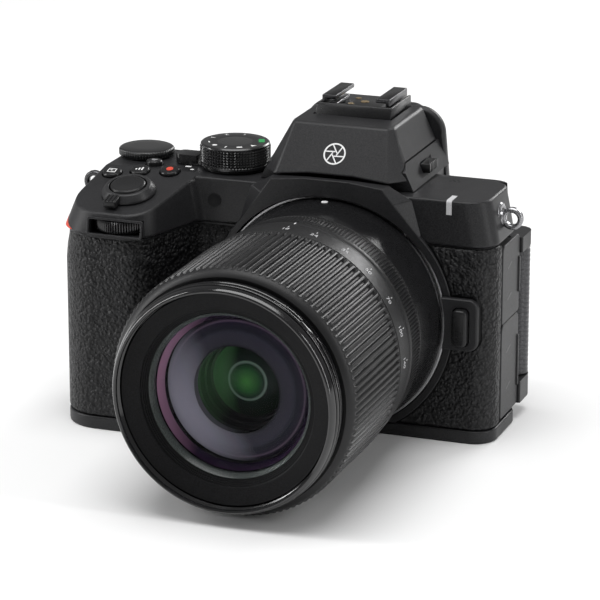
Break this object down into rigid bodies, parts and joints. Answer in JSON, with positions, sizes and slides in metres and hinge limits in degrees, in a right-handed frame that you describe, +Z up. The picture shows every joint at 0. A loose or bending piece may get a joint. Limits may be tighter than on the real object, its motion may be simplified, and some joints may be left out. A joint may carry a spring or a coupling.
{
  "type": "camera",
  "caption": "Interchangeable-lens camera with an electronic finder, hand grip, pop-up flash, swing-out monitor and an extending zoom lens.",
  "frame": {"origin": "underside of the base plate, below the optical axis, in the plane of the sensor's face", "axes": "+Z up; the lens points to -Y; +X is the side with the connector covers, the grip is at -X"},
  "size_m": [0.1378, 0.1344, 0.0968],
  "materials": {
    "body_paint": "satin black paint with a fine speckle",
    "grip_skin": "coarse pebbled leatherette",
    "ring_rubber": "ribbed matte rubber",
    "dial_black": "satin black",
    "record_red": "black key with a red dot",
    "mount_chrome": "polished",
    "steel": "brushed",
    "alloy": "cast",
    "lens_glass": "multi-coated",
    "window": "frosted flash window",
    "screen_glass": "gloss black",
    "board": "printed circuit board"
  },
  "bodies": {
    "camera_body": {"base_plate": "body_paint", "tripod_socket": "steel", "front_cover": "body_paint", "grip_rubber": "grip_skin", "front_leatherette": "grip_skin", "rear_cover": "body_paint", "top_cover": "body_paint", "mount_surround": "body_paint", "strap_lug_grip_side": "mount_chrome", "strap_lug_port_side": "mount_chrome", "evf_housing": "body_paint", "eyepiece_lens": "lens_glass", "evf_display": "screen_glass", "shoe_base": "body_paint", "shoe_rails": "steel", "thumb_rest": "grip_skin", "connector_block": "board", "chassis_frame": "alloy", "shutter_unit": "alloy", "image_sensor": "lens_glass", "main_board": "board", "battery": "dial_black", "mount_ring": "mount_chrome"},
    "lens": {"lens_mount_plate": "steel", "lens_barrel": "body_paint", "relay_lens_group": "lens_glass", "aperture_unit": "dial_black"},
    "zoom_grip": {"zoom_ring": "ring_rubber"},
    "control_grip": {"control_ring": "dial_black"},
    "middle_tube": {"middle_barrel": "body_paint"},
    "front_group": {"front_barrel": "body_paint", "name_bezel": "dial_black", "front_element": "lens_glass"},
    "power_collar": {"power_switch": "dial_black"},
    "shutter_release": {"shutter_button": "dial_black"},
    "exposure_key": {"exposure_button": "dial_black"},
    "iso_key": {"iso_button": "dial_black"},
    "picture_key": {"picture_button": "dial_black"},
    "record_key": {"record_button": "record_red"},
    "mode_selector": {"mode_dial": "dial_black"},
    "photo_video_selector": {"photo_video_lever": "dial_black"},
    "main_dial": {"main_command_dial": "dial_black"},
    "sub_dial": {"sub_command_dial": "dial_black"},
    "lens_release": {"lens_release_button": "dial_black"},
    "flash": {"flash_head": "body_paint", "flash_window": "window"},
    "flash_switch": {"flash_slider": "dial_black"},
    "diopter": {"diopter_dial": "dial_black"},
    "eye_cup": {"eyecup": "ring_rubber"},
    "monitor": {"monitor_frame": "body_paint", "monitor_screen": "screen_glass", "monitor_hinge": "body_paint"},
    "upper_cover": {"port_cover_upper": "ring_rubber"},
    "lower_cover": {"port_cover_lower": "ring_rubber"},
    "door": {"battery_door": "body_paint"},
    "selector_pad": {"multi_selector": "dial_black"},
    "ok_key": {"ok_button": "dial_black"},
    "menu_key": {"menu_button": "dial_black"},
    "playback_key": {"playback_button": "dial_black"},
    "delete_key": {"delete_button": "dial_black"}
  },
  "joints": [
    {"name": "lens_bayonet_turn", "type": "hinge", "parent": "camera_body", "child": "lens", "pos_m": [0, -0.016, 0.0366], "axis": [0, 1, 0], "range_deg": [0, 60]},
    {"name": "zoom_turn", "type": "hinge", "parent": "lens", "child": "zoom_grip", "pos_m": [0, -0.07, 0.0366], "axis": [0, -1, 0], "range_deg": [0, 90]},
    {"name": "middle_tube_extend", "type": "slide", "parent": "lens", "child": "middle_tube", "axis": [0, -1, 0], "range_m": [0, 0.026]},
    {"name": "front_group_extend", "type": "slide", "parent": "lens", "child": "front_group", "axis": [0, -1, 0], "range_m": [0, 0.052]},
    {"name": "control_ring_turn", "type": "hinge", "parent": "lens", "child": "control_grip", "pos_m": [0, -0.043, 0.0366], "axis": [0, 1, 0], "continuous": true},
    {"name": "power_switch_turn", "type": "hinge", "parent": "camera_body", "child": "power_collar", "pos_m": [-0.0596, -0.0282, 0.0702], "axis": [0, -0.2425, 0.9701], "range_deg": [0, 35]},
    {"name": "shutter_press", "type": "slide", "parent": "camera_body", "child": "shutter_release", "axis": [0, 0.2425, -0.9701], "range_m": [0, 0.0014], "stiffness_N_per_m": 400},
    {"name": "exposure_press", "type": "slide", "parent": "camera_body", "child": "exposure_key", "axis": [0, 0.2425, -0.9701], "range_m": [0, 0.0006], "stiffness_N_per_m": 500},
    {"name": "iso_press", "type": "slide", "parent": "camera_body", "child": "iso_key", "axis": [0, 0.2425, -0.9701], "range_m": [0, 0.0006], "stiffness_N_per_m": 500},
    {"name": "picture_press", "type": "slide", "parent": "camera_body", "child": "picture_key", "axis": [0, 0, -1], "range_m": [0, 0.0006], "stiffness_N_per_m": 500},
    {"name": "record_press", "type": "slide", "parent": "camera_body", "child": "record_key", "axis": [0, 0.2425, -0.9701], "range_m": [0, 0.0006], "stiffness_N_per_m": 500},
    {"name": "mode_dial_turn", "type": "hinge", "parent": "camera_body", "child": "mode_selector", "pos_m": [-0.0355, -0.003, 0.078], "axis": [0, 0, 1], "continuous": true},
    {"name": "photo_video_switch", "type": "hinge", "parent": "camera_body", "child": "photo_video_selector", "pos_m": [-0.0355, -0.003, 0.075], "axis": [0, 0, -1], "range_deg": [0, 22]},
    {"name": "main_dial_turn", "type": "hinge", "parent": "camera_body", "child": "main_dial", "pos_m": [-0.066, 0.001, 0.075], "axis": [0, 0, 1], "continuous": true},
    {"name": "sub_dial_turn", "type": "hinge", "parent": "camera_body", "child": "sub_dial", "pos_m": [-0.0592, -0.0336, 0.063], "axis": [0, 0, 1], "continuous": true},
    {"name": "lens_release_press", "type": "slide", "parent": "camera_body", "child": "lens_release", "axis": [0, 1, 0], "range_m": [0, 0.0015], "stiffness_N_per_m": 400},
    {"name": "flash_raise", "type": "hinge", "parent": "camera_body", "child": "flash", "pos_m": [0, 0.0195, 0.091], "axis": [-1, 0, 0], "range_deg": [0, 42]},
    {"name": "flash_switch_slide", "type": "slide", "parent": "camera_body", "child": "flash_switch", "axis": [0, 1, 0], "range_m": [0, 0.002], "stiffness_N_per_m": 300},
    {"name": "diopter_turn", "type": "hinge", "parent": "camera_body", "child": "diopter", "pos_m": [-0.0214, 0.0185, 0.0782], "axis": [1, 0, 0], "range_deg": [-120, 120]},
    {"name": "eyecup_lift", "type": "slide", "parent": "camera_body", "child": "eye_cup", "axis": [0, 0, 1], "range_m": [0, 0.012]},
    {"name": "monitor_swing", "type": "hinge", "parent": "camera_body", "child": "monitor", "pos_m": [0.0466, 0.0182, 0.032], "axis": [0, 0, -1], "range_deg": [0, 180]},
    {"name": "port_cover_upper_open", "type": "hinge", "parent": "camera_body", "child": "upper_cover", "pos_m": [0.0501, -0.0073, 0.0466], "axis": [0, 0, -1], "range_deg": [0, 105]},
    {"name": "port_cover_lower_open", "type": "hinge", "parent": "camera_body", "child": "lower_cover", "pos_m": [0.0501, -0.0073, 0.0197], "axis": [0, 0, -1], "range_deg": [0, 105]},
    {"name": "battery_door_open", "type": "hinge", "parent": "camera_body", "child": "door", "pos_m": [-0.053, -0.02375, 0], "axis": [0, -1, 0], "range_deg": [0, 95]},
    {"name": "selector_press", "type": "slide", "parent": "camera_body", "child": "selector_pad", "axis": [0, -1, 0], "range_m": [0, 0.0004], "stiffness_N_per_m": 500},
    {"name": "ok_press", "type": "slide", "parent": "camera_body", "child": "ok_key", "axis": [0, -1, 0], "range_m": [0, 0.0006], "stiffness_N_per_m": 500},
    {"name": "menu_press", "type": "slide", "parent": "camera_body", "child": "menu_key", "axis": [0, -1, 0], "range_m": [0, 0.0006], "stiffness_N_per_m": 500},
    {"name": "playback_press", "type": "slide", "parent": "camera_body", "child": "playback_key", "axis": [0, -1, 0], "range_m": [0, 0.0006], "stiffness_N_per_m": 500},
    {"name": "delete_press", "type": "slide", "parent": "camera_body", "child": "delete_key", "axis": [0, -1, 0], "range_m": [0, 0.0006], "stiffness_N_per_m": 500}
  ],
  "couplings": [
    {"joint": "middle_tube_extend", "follows": "zoom_turn", "m_per_rad": 0.016551},
    {"joint": "front_group_extend", "follows": "zoom_turn", "m_per_rad": 0.033103}
  ]
}
